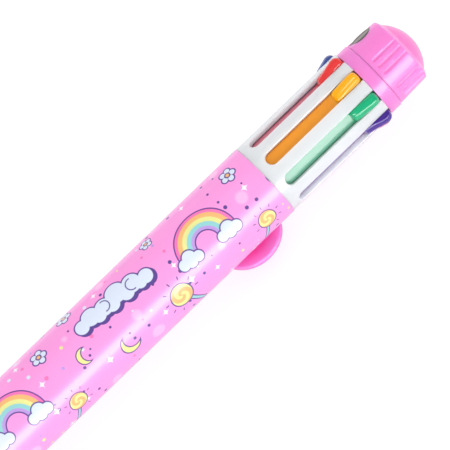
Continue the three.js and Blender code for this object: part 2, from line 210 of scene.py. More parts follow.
def settled(name):
    """Names the newest object, and moves its place into its mesh."""
    piece = bpy.context.object
    piece.name = name
    piece.data.name = name
    bpy.ops.object.transform_apply(location=True, rotation=True, scale=True)
    return piece


def circle(name, corners, radius, fill="NGON", **placed):
    """A circle, filled or not, as a piece of its own."""
    deselect()
    bpy.ops.mesh.primitive_circle_add(vertices=corners, radius=radius * MM, fill_type=fill, **placed)
    return settled(name)


def editing(piece):
    """Starts editing a piece with all of it selected."""
    only(piece)
    bpy.ops.object.mode_set(mode="EDIT")
    bpy.ops.mesh.select_mode(type="VERT")
    bpy.ops.mesh.select_all(action="SELECT")


def extrude(step):
    """Extrudes what is selected by a step."""
    bpy.ops.mesh.extrude_region_move(TRANSFORM_OT_translate={"value": step})


def tidied(piece):
    """Merges doubles, drops loose edges and turns the faces outward."""
    editing(piece)
    bpy.ops.mesh.remove_doubles(threshold=1e-7)
    bpy.ops.mesh.delete_loose(use_verts=True, use_edges=True, use_faces=False)
    bpy.ops.mesh.select_all(action="SELECT")
    bpy.ops.mesh.normals_make_consistent(inside=False)
    if bmesh.from_edit_mesh(piece.data).calc_volume(signed=True) < 0:
        bpy.ops.mesh.flip_normals()
    deselect()
    return piece


def smoothed(piece, crease=35):
    """Shades a piece smoothly, apart from its creases."""
    only(piece)
    bpy.ops.object.shade_smooth_by_angle(angle=radians(crease))
    return piece


def drawn(name, points):
    """A closed line through the points, extruded from each to the next."""
    deselect()
    bpy.ops.mesh.primitive_plane_add(size=MM, location=points[0])
    piece = settled(name)
    editing(piece)
    bpy.ops.mesh.merge(type="CENTER")
    for here, there in zip(points, points[1:] + points[:1]):
        extrude(there - here)
    bpy.ops.mesh.select_all(action="SELECT")
    bpy.ops.mesh.remove_doubles(threshold=1e-7)
    deselect()
    return piece


def soft_corner(before, corner, after, soft, steps):
    """The points of a curve that softens one corner."""
    back, ahead = before - corner, after - corner
    start = corner + back.normalized() * min(soft, back.length * 0.45)
    end = corner + ahead.normalized() * min(soft, ahead.length * 0.45)
    shares = [step / steps for step in range(steps + 1)]
    return [start * (1 - t) ** 2 + corner * 2 * t * (1 - t) + end * t ** 2 for t in shares]


def rounded(outline, soft, steps):
    """Softens an outline's corners, apart from flat ones and those on the axis."""
    corners = [Vector(point) for point in outline]
    points = []
    for i, corner in enumerate(corners):
        before, after = corners[i - 1], corners[(i + 1) % len(corners)]
        if corner.y < soft or (before - corner).angle(corner - after) < radians(15):
            points.append(corner)
        else:
            points += soft_corner(before, corner, after, soft, steps)
    return points


def ring(low, high, inner, outer):
    """The outline of a plain ring between two places."""
    return [(low, inner), (low, outer), (high, outer), (high, inner)]


def turned(name, outline, sides=192, soft=0.0, steps=4, height=0.0):
    """Spins a closed outline of (place, radius) points about a line along the pen."""
    points = rounded(outline, soft, steps) if soft else outline
    piece = drawn(name, [at(place, height + radius) for place, radius in points])
    editing(piece)
    bpy.ops.mesh.spin(steps=sides, angle=tau, center=at(0, height), axis=(1, 0, 0))
    return tidied(piece)


def modified(piece, kind, **settings):
    """Adds a modifier and applies it."""
    only(piece)
    modifier = piece.modifiers.new(kind.lower(), kind)
    for setting, value in settings.items():
        setattr(modifier, setting, value)
    bpy.ops.object.modifier_apply(modifier=modifier.name)
    return piece


def combined(piece, other, operation):
    """Cuts another mesh out of a piece, or joins it on."""
    modified(piece, "BOOLEAN", object=other, operation=operation, solver="EXACT")
    bpy.data.objects.remove(other)
    return tidied(piece)


def turned_about(piece, point, angle, axis):
    """Turns a piece about a point."""
    middle = Matrix.Translation(point)
    piece.data.transform(middle @ Matrix.Rotation(angle, 4, axis) @ middle.inverted())
    return piece


def turned_to(piece, angle):
    """Turns a piece about the pen's axis, from the top toward +Y."""
    return turned_about(piece, (0, 0, AXIS), -angle, "X")


def copied(piece, name):
    """A copy with a mesh of its own."""
    copy = linked(name, piece.data.copy())
    copy.data.name = name
    return copy


def all_round(piece):
    """Copies of a piece at each slider's place, in its stead."""
    copies = [turned_to(copied(piece, piece.name), steps * PLACE_PITCH) for steps, *_ in SLIDERS.values()]
    bpy.data.objects.remove(piece)
    return copies


def joined(pieces):
    """Several meshes as one object."""
    deselect()
    for piece in pieces:
        piece.select_set(True)
    bpy.context.view_layer.objects.active = pieces[0]
    bpy.ops.object.join()
    return pieces[0]


def lofted(name, sections):
    """A closed skin over sections of (place, [(across, height), ...])."""
    count = len(sections[0][1])
    piece = circle(name, count, 1, location=(0, 0, 0), rotation=(0, pi / 2, 0))
    editing(piece)
    for _ in sections[1:]:
        extrude((MM, 0, 0))
    deselect()
    for vertex in piece.data.vertices:
        place, points = sections[round(vertex.co.x / MM)]
        turn = atan2(vertex.co.z, vertex.co.y) / tau * count
        across, height = points[round(turn) % count]
        vertex.co = at(place, height, across)
    return tidied(piece)


def block(name, low, high, soft):
    """A block between two corners of (place, across, height), its edges rounded."""
    middle = [(a + b) / 2 for a, b in zip(low, high)]
    size = [(b - a) * MM for a, b in zip(low, high)]
    deselect()
    bpy.ops.mesh.primitive_cube_add(size=1, location=at(middle[0], middle[2], middle[1]), scale=size)
    piece = settled(name)
    editing(piece)
    bpy.ops.mesh.bevel(offset=soft * MM, offset_type="OFFSET", segments=3, affect="EDGES")
    return tidied(piece)


def dressed(piece, material, node, body="barrel_body"):
    """Puts a material on a finished piece that rides a body and stands for a node."""
    piece.data.materials.clear()
    piece.data.materials.append(material)
    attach(piece, body)
    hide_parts(node)
    return piece


# Finishes are put together from shader nodes


def screen(red, green, blue):
    """A screen's colour, from 0 to 255 in each channel, as the shaders take it."""

    def linear(channel):
        share = channel / 255
        return share / 12.92 if share <= 0.04045 else ((share + 0.055) / 1.055) ** 2.4

    return (linear(red), linear(green), linear(blue), 1.0)


class Finish:
    """Draws a finish. A value is a number, a vector, a colour or another node's socket."""

    def __init__(self, tree):
        self.tree = tree

    def add(self, kind, *values, **settings):
        node = self.tree.nodes.new(kind)
        for setting, value in settings.items():
            setattr(node, setting, value)
        for socket, value in zip(node.inputs, values):
            self.feed(socket, value)
        return node

    def feed(self, socket, value):
        if isinstance(value, bpy.types.NodeSocket):
            self.tree.links.new(value, socket)
        elif value is not None:
            socket.default_value = value

    def place(self):
        """The place on the pen, in metres."""
        return self.add("ShaderNodeTexCoord").outputs["Object"]

    def maths(self, operation, *values):
        return self.add("ShaderNodeMath", *values, operation=operation).outputs[0]

    def plus(self, first, second):
        return self.maths("ADD", first, second)

    def minus(self, first, second):
        return self.maths("SUBTRACT", first, second)

    def times(self, first, second):
        return self.maths("MULTIPLY", first, second)

    def scaled(self, value, factor, offset):
        return self.maths("MULTIPLY_ADD", value, factor, offset)

    def vector(self, operation, *values):
        return self.add("ShaderNodeVectorMath", *values, operation=operation).outputs[0]

    def parts(self, place):
        """The x, y and z of a place."""
        return self.add("ShaderNodeSeparateXYZ", place).outputs

    def most(self, *values):
        return reduce(lambda first, second: self.maths("MAXIMUM", first, second), values)

    def least(self, *values):
        return reduce(lambda first, second: self.maths("MINIMUM", first, second), values)

    def far(self, place, x=0.0, y=0.0, z=0.0):
        """How far a place is from a point."""
        return self.add("ShaderNodeVectorMath", place, (x, y, z), operation="DISTANCE").outputs["Value"]

    def disc(self, place, x, y, radius):
        """How deep a place lies inside a disc."""
        return self.minus(radius, self.far(place, x, y))

    def band(self, value, middle, half):
        """How deep a value lies inside a band."""
        away = self.maths("ABSOLUTE", self.minus(value, middle))
        return self.minus(half, away)

    def inside(self, depth, soft=0.05):
        """1 inside and 0 outside, with a soft edge."""
        return self.add("ShaderNodeMapRange", depth, -soft, soft).outputs[0]

    def between(self, value, low, high):
        """0 below low, 1 above high, and a straight slope in between."""
        return self.add("ShaderNodeMapRange", value, low, high).outputs[0]

    def over(self, below, above, mask):
        """One colour laid over another through a mask."""
        unused = [None] * 5
        return self.add("ShaderNodeMix", mask, *unused, below, above, data_type="RGBA").outputs[2]

    def noise(self, place, scale, detail=3.0):
        return self.add("ShaderNodeTexNoise", place, None, scale, detail).outputs[0]

    def ramp(self, value, *stops):
        """Bands of colour, each from its stop to the next."""
        node = self.add("ShaderNodeValToRGB", value)
        node.color_ramp.interpolation = "CONSTANT"
        while len(node.color_ramp.elements) < len(stops):
            node.color_ramp.elements.new(1)
        for element, (stop, tone) in zip(node.color_ramp.elements, stops):
            element.position = stop
            element.color = tone
        return node.outputs[0]

    def use(self, group, *values):
        """Places a node group."""
        return self.add("ShaderNodeGroup", *values, node_tree=group).outputs

    def show(self, shader, colour, roughness, height, depth):
        """Feeds a shader its colour, its roughness and a bump so many mm deep."""
        self.feed(shader.inputs["Base Color"], colour)
        self.feed(shader.inputs["Roughness"], roughness)
        bump = self.add("ShaderNodeBump", 1.0, depth * MM)
        self.feed(bump.inputs["Height"], height)
        self.feed(shader.inputs["Normal"], bump.outputs[0])


SOCKET_KINDS = {"Colour": "Color", "Place": "Vector"}


def new_group(name, takes, gives):
    """A node group: its tree, a finish to draw it with, its inputs and its outputs."""
    group = bpy.data.node_groups.new(name, "ShaderNodeTree")
    for way, sockets in (("INPUT", takes), ("OUTPUT", gives)):
        for socket in sockets:
            kind = SOCKET_KINDS.get(socket, "Float")
            group.interface.new_socket(socket, in_out=way, socket_type=f"NodeSocket{kind}")
    start = group.nodes.new("NodeGroupInput")
    end = group.nodes.new("NodeGroupOutput")
    return group, Finish(group), start.outputs, end.inputs


def moulded_surface():
    """A moulded surface: a drift of shade, paler edges, fine grain and scratches."""
    takes, gives = ["Colour", "Drift", "Roughness", "Wear"], ["Colour", "Roughness", "Height"]
    group, look, given, result = new_group("moulded surface", takes, gives)
    place = look.place()
    away = look.minus(look.noise(place, 190), 0.5)
    shade = look.plus(1.0, look.times(away, given["Drift"]))
    drifted = look.add("ShaderNodeHueSaturation", 0.5, 1.0, shade, 1.0, given["Colour"]).outputs[0]
    edge = look.between(look.add("ShaderNodeNewGeometry").outputs["Pointiness"], 0.53, 0.6)
    worn = look.times(edge, given["Wear"])
    look.feed(result["Colour"], look.over(drifted, (1, 1, 1, 1), worn))
    along = look.vector("MULTIPLY", place, (90, 900, 900))
    scratch = look.minus(look.noise(along, 6, 2), 0.5)
    look.feed(result["Roughness"], look.scaled(scratch, 0.12, given["Roughness"]))
    look.feed(result["Height"], look.noise(place, 5200, 2))
    return group


MOULDED = moulded_surface()


def new_material(name, **constants):
    """A material, a finish to draw it with and its shader, which holds the constants."""
    material = bpy.data.materials.new(name)
    material.use_nodes = True
    nodes = material.node_tree.nodes
    nodes.clear()
    shader = nodes.new("ShaderNodeBsdfPrincipled")
    end = nodes.new("ShaderNodeOutputMaterial")
    material.node_tree.links.new(shader.outputs[0], end.inputs[0])
    for socket, value in constants.items():
        shader.inputs[socket.replace("_", " ")].default_value = value
    return material, Finish(material.node_tree), shader


def moulded_plastic(name, tone, roughness, drift=0.12, wear=0.12, grain=0.0025, **constants):
    """A moulded plastic. Its tone is a colour, or makes one from the finish."""
    material, look, shader = new_material(name, **constants)
    colour = tone(look) if callable(tone) else tone
    surface = look.use(MOULDED, colour, drift, roughness, wear)
    look.show(shader, surface["Colour"], surface["Roughness"], surface["Height"], grain)
    return material


def translucent(depth, share, green=1.0, blue=1.0):
    """A share of the light goes a little way into a plastic, in mm."""
    return {
        "Subsurface_Weight": share,
        "Subsurface_Radius": (1.0, green, blue),
        "Subsurface_Scale": depth * MM,
    }


GLOSS = {"Specular_IOR_Level": 0.5, "Coat_Weight": 0.4, "Coat_Roughness": 0.15}


def pink_with_painted_dome_shade(look):
    """Pink, with painted shade that makes the cap's domed end a little deeper."""
    along = look.parts(look.place())[0]
    # Painted shade: the domed end is drawn a deeper pink than the rest of the cap.
    domed = look.between(along, at(DOME_PLACE - 0.1).x, at(DOME_PLACE + 0.1).x)
    return look.over(screen(255, 137, 216), screen(255, 122, 203), domed)


def clip_pink_with_painted_rim_light(look):
    """Deep pink, with painted shade over the middle of the clip's disc and painted light toward its edge.
    """
    flat = look.vector("MULTIPLY", look.place(), (1, 1, 0))
    far = look.far(flat, at(DISC_PLACE).x)
    # Painted light and shade: the disc is drawn paler toward its rim and deeper pink nearer its middle.
    pale = look.between(far, (DISC_RADIUS - 2.6) * MM, DISC_RADIUS * MM)
    return look.over(screen(255, 92, 184), screen(255, 150, 226), pale)


white_plastic = moulded_plastic(
    "glossy white plastic", screen(230, 235, 240), 0.3, drift=0.04, wear=0.05,
    **GLOSS, **translucent(2.0, 0.8)
)
pink_plastic = moulded_plastic(
    "glossy pink plastic", pink_with_painted_dome_shade, 0.3, drift=0.08,
    **GLOSS, **translucent(1.2, 0.5, green=0.4, blue=0.7)
)
clip_plastic = moulded_plastic(
    "deep pink clip plastic", clip_pink_with_painted_rim_light, 0.3, **GLOSS, **translucent(1.0, 0.5, green=0.3, blue=0.5)
)
natural_plastic = moulded_plastic(
    "natural plastic", screen(230, 230, 224), 0.5, drift=0.08, grain=0.004, **translucent(0.6, 0.5)
)


def slider_plastic_with_painted_bar_light(colour, head, stem):
    """Clear coloured plastic, full in the head and painted paler along the thin bar for light that shines
    through it.
    """

    def tone(look):
        along = look.parts(look.place())[0]
        # Painted light: the bar is drawn in a paler tone than the head, for light through the thin
        # plastic.
        share = look.between(along, at(HEAD_LOW - 0.9).x, at(HEAD_LOW + 0.5).x)
        return look.over(screen(*stem), screen(*head), share)

    return moulded_plastic(
        f"glossy {colour} slider plastic", tone, 0.22, drift=0.16, wear=0.05, grain=0.0012,
        Specular_IOR_Level=0.4, Coat_Weight=0.5, Coat_Roughness=0.06, **translucent(0.5, 0.3)
    )


MILK = screen(236, 238, 236)
FOLLOWER = screen(214, 206, 160)
INK_TOP = 80


def refill_plastic(colour, ink):
    """A milky tube with its ink showing through, up to the follower on top of it."""

    def tone(look):
        place = look.place()
        along = look.parts(place)[0]
        level = look.plus(along, look.times(look.noise(place, 900), 0.4 * MM))
        filled = look.between(level, at(INK_TOP).x, at(INK_TOP - 0.6).x)
        follower = look.inside(look.band(level, at(INK_TOP + 1.4).x, 1.3 * MM), 0.1 * MM)
        inked = look.over(MILK, screen(*ink), look.times(filled, 0.82))
        return look.over(inked, FOLLOWER, look.times(follower, 0.6))

    return moulded_plastic(
        f"milky tube with {colour} ink", tone, 0.32, drift=0.06, wear=0.0, **translucent(0.5, 0.4)
    )


def turned_metal(name, tone, roughness, scale):
    """Metal with fine lathe rings across the pen."""
    material, look, shader = new_material(name, Metallic=1.0)
    place = look.place()
    rings = look.noise(look.vector("MULTIPLY", place, (scale, 40, 40)), 1.0, 2)
    cloud = look.noise(place, 260)
    shade = look.plus(0.92, look.times(cloud, 0.16))
    colour = look.add("ShaderNodeHueSaturation", 0.5, 1.0, shade, 1.0, screen(*tone)).outputs[0]
    look.show(shader, colour, look.scaled(rings, 0.18, roughness), rings, 0.003)
    return material


brass = turned_metal("turned brass", (206, 168, 96), 0.2, 9000)
spring_steel = turned_metal("drawn spring wire", (190, 194, 200), 0.18, 3000)


def badge_finish():
    """Satin grey with fine rings round its middle and a darker edge."""
    material, look, shader = new_material("satin grey badge", Metallic=0.35)
    place = look.place()
    middle = at(BADGE_PLACE, BADGE_TOP * cos(BADGE_ANGLE), BADGE_TOP * sin(BADGE_ANGLE))
    far = look.far(place, *middle)
    rings = look.maths("SINE", look.times(far, tau / (0.22 * MM)))
    edge = look.between(far, 1.75 * MM, 1.95 * MM)
    cloud = look.times(look.noise(place, 700), 0.5)
    tone = look.over(screen(158, 142, 142), screen(132, 126, 122), cloud)
    colour = look.over(tone, screen(118, 124, 112), edge)
    look.show(shader, colour, look.scaled(rings, 0.05, 0.4), rings, 0.006)
    return material


# The film's print: small bright motifs with a purple outline, twice over along the film

LINE = screen(92, 66, 150)
CLOUD = screen(222, 232, 250)
PEACH = screen(250, 190, 120)
YELLOW = screen(240, 236, 150)
LILAC = screen(196, 158, 232)
AQUA = screen(150, 216, 218)
ROSE = screen(250, 120, 190)
FILM_PINK = screen(255, 158, 227)
OUTLINE = 0.24


def motif(name, draw):
    """A motif round a place in mm: its colour, and where it covers the film."""
    group, look, given, result = new_group(name, ["Place"], ["Colour", "Mask"])
    colour, depth = draw(look, given["Place"])
    look.feed(result["Colour"], colour)
    look.feed(result["Mask"], look.inside(depth))
    return group


def outlined(look, depth, fill, below=LINE):
    """A shape filled inside its outline."""
    return look.over(below, fill, look.inside(look.minus(depth, OUTLINE)))


def draw_rainbow(look, place):
    """An arch of five soft bands that stands on two small clouds."""
    far = look.far(place)
    height = look.parts(place)[1]
    arch = look.least(look.band(far, 4.05, 2.0), look.plus(height, 0.4))
    bands = look.ramp(
        look.between(far, 2.05, 6.05),
        (0, LILAC), (0.2, AQUA), (0.4, YELLOW), (0.6, PEACH), (0.8, ROSE),
    )
    colour = outlined(look, arch, bands)
    puffs = [
        (side * x, y, radius)
        for side in (-1, 1)
        for x, y, radius in ((5.6, -0.7, 1.25), (4.2, -0.1, 1.5), (2.7, -0.8, 1.2), (4.2, -0.9, 1.3))
    ]
    feet = look.most(*(look.disc(place, *puff) for puff in puffs))
    cloud = outlined(look, feet, CLOUD)
    return look.over(colour, cloud, look.inside(feet)), look.most(arch, feet)


def draw_cloud(look, place):
    """A long low cloud with a purple shadow under it and two curls inside."""
    puffs = (
        (-6.8, -0.5, 1.5), (-4.7, 0.1, 1.9), (-2.0, -0.1, 1.8), (0.9, 0.6, 2.1), (3.9, 0.1, 1.9),
        (6.5, -0.5, 1.5), (-3.4, -0.7, 1.5), (2.4, -0.6, 1.6), (5.2, -0.8, 1.3), (-0.6, -0.6, 1.6),
    )

    def bank(place):
        return look.most(*(look.disc(place, *puff) for puff in puffs))

    depth = bank(place)
    shadow = bank(look.vector("ADD", place, (-0.3, 0.42, 0)))
    curls = []
    for x, y, radius, side in ((-1.9, 0.0, 1.0, 1), (3.9, 0.0, 1.05, -1)):
        curl = look.band(look.far(place, x, y), radius, 0.1)
        open_side = look.times(side, look.minus(look.parts(place)[0], x))
        curls.append(look.least(curl, look.plus(open_side, 0.2)))
    fill = look.over(CLOUD, LINE, look.inside(look.most(*curls)))
    return outlined(look, depth, fill), look.most(depth, shadow)


def draw_lollipop(look, place):
    """A round sweet with a swirl, on a stick, with short strokes round it."""
    x, y, _ = look.parts(place)
    far = look.far(place)
    sweet = look.disc(place, 0, 0, 2.3)
    stick = look.least(look.band(x, 0, 0.5), look.band(y, -3.9, 2.4))
    angle = look.maths("DIVIDE", look.maths("ARCTAN2", y, x), tau)
    spiral = look.maths("FRACT", look.scaled(far, 0.62, look.times(angle, 2)))
    swirl = look.ramp(spiral, (0, YELLOW), (0.5, PEACH))
    colour = look.over(outlined(look, stick, AQUA), outlined(look, sweet, swirl), look.inside(sweet))
    spoke = look.maths("PINGPONG", look.times(angle, 10), 0.5)
    across = look.times(look.times(spoke, far), tau / 10)
    strokes = look.least(look.minus(0.11, across), look.band(far, 3.2, 0.32), look.plus(y, 2.6))
    return colour, look.most(sweet, stick, strokes)


def draw_moon(look, place):
    """A crescent moon with two dots beside it."""
    hollow = look.times(look.disc(place, 1.0, 0.45, 1.62), -1)
    moon = look.least(look.disc(place, 0, 0, 2.0), hollow)
    dots = look.most(look.disc(place, 1.5, 1.1, 0.22), look.disc(place, 1.1, -0.2, 0.3))
    return outlined(look, moon, YELLOW), look.most(moon, dots)


def draw_flower(look, place):
    """A flower of five round petals."""
    x, y, _ = look.parts(place)
    far = look.far(place)
    turn = look.maths("ARCTAN2", y, x)
    folded = look.maths("PINGPONG", look.plus(turn, pi / 2), pi / 5)
    petal_x = look.times(far, look.maths("COSINE", folded))
    petal_y = look.times(far, look.maths("SINE", folded))
    petal = look.disc(look.add("ShaderNodeCombineXYZ", petal_x, petal_y).outputs[0], 0.98, 0, 0.78)
    heart = look.disc(place, 0, 0, 0.6)
    colour = look.over(outlined(look, petal, CLOUD), outlined(look, heart, PEACH), look.inside(heart))
    return colour, look.most(petal, heart)


def print_ground():
    """The pink ground: pale spots, small dots and four-pointed glints."""
    group, look, given, result = new_group("print ground", ["Place"], ["Colour"])
    place = given["Place"]

    def scatter(step, jitter=0.9):
        node = look.add("ShaderNodeTexVoronoi", place, voronoi_dimensions="2D")
        node.inputs["Scale"].default_value = 1 / step
        node.inputs["Randomness"].default_value = jitter
        chance, size, hue = look.parts(node.outputs["Color"])
        return node.outputs["Distance"], node.outputs["Position"], chance, size, hue

    def some(shape, chance, least):
        return look.times(shape, look.maths("GREATER_THAN", chance, least))

    def grown(size, share, least, away):
        return look.minus(look.scaled(size, share, least), away)

    distance, _, chance, size, _ = scatter(9.5)
    spot = some(look.between(grown(size, 0.09, 0.06, distance), -0.02, 0.03), chance, 0.4)
    colour = look.over(FILM_PINK, screen(255, 208, 242), look.times(spot, 0.55))
    distance, _, chance, size, hue = scatter(2.6)
    dot = some(look.between(grown(size, 0.1, 0.05, distance), -0.02, 0.02), chance, 0.52)
    tone = look.ramp(hue, (0, LINE), (0.34, CLOUD), (0.6, YELLOW), (0.78, LILAC), (0.9, ROSE))
    colour = look.over(colour, tone, dot)
    _, middle, chance, size, _ = scatter(6.3, 0.8)
    x, y, _ = look.parts(look.vector("ABSOLUTE", look.vector("SUBTRACT", place, middle)))
    rays = look.plus(look.maths("SQRT", x), look.maths("SQRT", y))
    glint = some(look.inside(grown(size, 0.35, 0.75, rays)), chance, 0.45)
    look.feed(result["Colour"], look.over(colour, screen(252, 244, 255), glint))
    return group


def printed_film():
    """A glossy film printed on pink, laid out in mm along the pen and round it."""
    material, look, shader = new_material("printed pink film", **GLOSS)
    place = look.place()
    x, y, z = look.parts(place)
    turn = look.maths("ARCTAN2", y, look.minus(z, AXIS))
    along = look.maths("DIVIDE", look.minus(x, at(FILM_TOP).x), MM)
    round_pen = look.times(turn, FILM_RADIUS)
    print_place = look.add("ShaderNodeCombineXYZ", along, round_pen).outputs[0]
    colour = look.use(print_ground(), print_place)[0]
    half_repeat = Vector(((FILM_TOP - FILM_LOW) / 4, pi * FILM_RADIUS, 0))
    facing = -FACING * FILM_RADIUS
    rainbow, cloud = motif("rainbow", draw_rainbow), motif("long cloud", draw_cloud)
    lollipop, moon = motif("lollipop", draw_lollipop), motif("crescent moon", draw_moon)
    flower = motif("five-petal flower", draw_flower)
    motifs = (
        (flower, -4.4, 5.6, 10, 1.0), (lollipop, -4.6, -5.6, -24, 0.8), (rainbow, -14.8, -0.9, -6, 1.0),
        (flower, -22.6, 7.6, 40, 0.8), (lollipop, -24.2, -4.6, 30, 1.0), (cloud, -33.2, 3.6, -5, 1.05),
        (moon, -36.2, -4.4, 20, 1.0), (flower, -41.6, 9.0, 0, 1.0), (moon, -43.4, -0.2, -30, 0.8),
        (rainbow, -36.4, 20.4, 8, 0.95), (cloud, -12.2, 19.6, 7, 0.95), (lollipop, -2.4, 15.6, 12, 0.9),
        (moon, -24.0, 15.2, 0, 1.0), (flower, -22.6, 22.6, 20, 1.1), (flower, -6.4, -12.6, 0, 0.9),
        (lollipop, -36.8, -12.8, -15, 0.9), (moon, -15.4, -12.0, 40, 0.9), (flower, -26.4, -13.6, 55, 1.0),
    )
    for drawing, ahead, up, tilt, size in motifs:
        from_middle = look.vector("SUBTRACT", print_place, (ahead, facing + up, 0))
        nearest = look.vector("WRAP", from_middle, half_repeat, -half_repeat)
        turned_place = look.add("ShaderNodeVectorRotate", nearest, rotation_type="Z_AXIS")
        turned_place.inputs["Angle"].default_value = -radians(tilt)
        scaled = look.vector("MULTIPLY", turned_place.outputs[0], (1 / size, 1 / size, 1))
        colour = look.over(colour, *look.use(drawing, scaled))
    surface = look.use(MOULDED, colour, 0.08, 0.3, 0.0)
    ripple = look.noise(look.vector("MULTIPLY", place, (0.4, 1, 1)), 320, 2)
    look.show(shader, surface["Colour"], surface["Roughness"], ripple, 0.012)
    return material


# The barrel, its film and the pieces that close it


def slot_cutter():
    """A round-ended cutter for the top slot, a little wider at the barrel's skin."""
    half, sides = SLOT_WIDTH / 2, 48
    middle = at(SLOT_LOW + half, SLOT_FLOOR)
    cutter = circle("slot cutter", sides, half, location=middle, rotation=(0, 0, pi / sides))
    for vertex in cutter.data.vertices:
        if vertex.co.x > middle.x:
            vertex.co.x += (SLOT_LENGTH + 0.1 - half) * MM - (vertex.co.x - middle.x)
    editing(cutter)
    skin = ((BARREL_RADIUS - 0.07, 0.0), (BARREL_RADIUS + 0.03, 0.1), (BARREL_RADIUS + 1.5, 0.1))
    for _ in skin:
        extrude((0, 0, MM))
    deselect()
    for vertex in cutter.data.vertices:
        level = round((vertex.co.z - middle.z) / MM)
        if level:
            radius, flare = skin[level - 1]
            across = vertex.co.y
            vertex.co.y += copysign(flare * MM, across) * min(1, abs(across) / (half * 0.7 * MM))
            if vertex.co.x < middle.x:
                vertex.co.x -= flare * MM * (middle.x - vertex.co.x) / (half * MM)
            vertex.co.z = AXIS + sqrt((radius * MM) ** 2 - vertex.co.y ** 2)
    return tidied(cutter)


def clip_notch(name, low, high):
    """A cutter for the notch that the clip's root lies in."""
    floor = sqrt(SPIGOT_BORE ** 2 - NOTCH_HALF ** 2) - PLAY
    notch = block(name, (low, -NOTCH_HALF, floor), (high, NOTCH_HALF, CLIP_RADIUS + 1), 0.05)
    return turned_to(notch, pi)


def make_barrel():
    tube = turned("white_barrel", [
        (BARREL_LOW, LOWER_BORE), (BARREL_LOW, FILM_SEAT), (FILM_TOP + FIT, FILM_SEAT),
        (FILM_TOP + FIT, BARREL_RADIUS), (BARREL_TOP, BARREL_RADIUS), (BARREL_TOP, SPIGOT_RADIUS),
        (SPIGOT_TOP, SPIGOT_RADIUS), (SPIGOT_TOP, SPIGOT_BORE), (BARREL_TOP, SPIGOT_BORE),
        (BARREL_TOP, LEDGE_RADIUS), (BARREL_TOP - 1.5, LEDGE_RADIUS), (BARREL_TOP - 3, BARREL_BORE),
        (SEAT_LOW, BARREL_BORE), (SEAT_LOW, LOWER_BORE),
    ], soft=0.06, steps=3)
    cutters = [*all_round(slot_cutter()), clip_notch("notch cutter", BARREL_TOP + FIT, COLLAR_TOP + 1)]
    return smoothed(combined(tube, joined(cutters), "DIFFERENCE"), 30)


def make_film():
    sheet = ring(FILM_LOW, FILM_TOP, FILM_RADIUS - FILM_THICKNESS, FILM_RADIUS)
    return smoothed(turned("printed_film", sheet, sides=256, soft=0.04, steps=3))


def make_nose():
    """The nose: a hollow cone with a funnel inside and a spigot for the barrel."""
    rim, mouth = 1.9, 1.35
    back = FILM_SEAT - PLAY
    end = BARREL_LOW - PLAY
    spigot = LOWER_BORE - FIT
    hollow = spigot - 0.85
    shares = [i / 28 for i in range(1, 28)]
    outside = [(end * t, rim + (back - rim) * sin(t * pi / 2) ** 0.9) for t in shares]
    rim_edge = rounded([(0, mouth), (0, rim), outside[1], (3, mouth)], 0.22, 5)
    lip = [point for point in rim_edge if point.x < 0.6 and point.y > 1.2]
    return smoothed(turned("nose_cone_shell", [
        *lip, *outside[2:], (end - 0.12, back), (end, back - 0.12), (end, spigot),
        (end + 6.2, spigot), (end + 6.6, spigot - 0.3), (end + 6.6, hollow),
        ((TIP_PLACE + BARREL_LOW) / 2, hollow), (TIP_PLACE, TIP_RING + TUBE_RADIUS), (1.5, mouth),
    ], sides=160))


def make_collar():
    low, top, bore = BARREL_TOP + FIT, COLLAR_TOP - FIT, SPIGOT_RADIUS + FIT
    collar = turned("collar_ring", [
        (low, bore), (low, COLLAR_RADIUS), (COLLAR_TOP - 0.15, COLLAR_RADIUS),
        (top, COLLAR_RADIUS - 0.1), (top, bore),
    ], soft=0.07)
    notch = clip_notch("collar notch", BARREL_TOP - 1, COLLAR_TOP + 1)
    return smoothed(combined(collar, notch, "DIFFERENCE"))


# The cap's grooves lie in threes on five flanks
GROOVE_LINES = [BADGE_ANGLE - radians(78 + 56 * flank + 12 * i) for flank in range(5) for i in (-1, 0, 1)]
GROOVE_RADIUS = 0.42


def grooved(place, radius, angle):
    """The knob's radius at a place once the grooves are pressed into it."""
    away = min(abs(remainder(angle - line, tau)) for line in GROOVE_LINES) * CAP_RADIUS
    start = min(1.0, max(0.0, (place - CAP_LOW - 0.9) / 0.45))
    width = GROOVE_RADIUS * sqrt(1 - (1 - start) ** 2)
    if away >= width:
        return radius
    floor = CAP_RADIUS - sqrt(width ** 2 - away ** 2)
    lip = 0.05
    gap = radius - floor
    return floor + (gap - lip * (1 - exp(-max(gap, 0) / lip))) * 0.12 if gap > 0 else radius


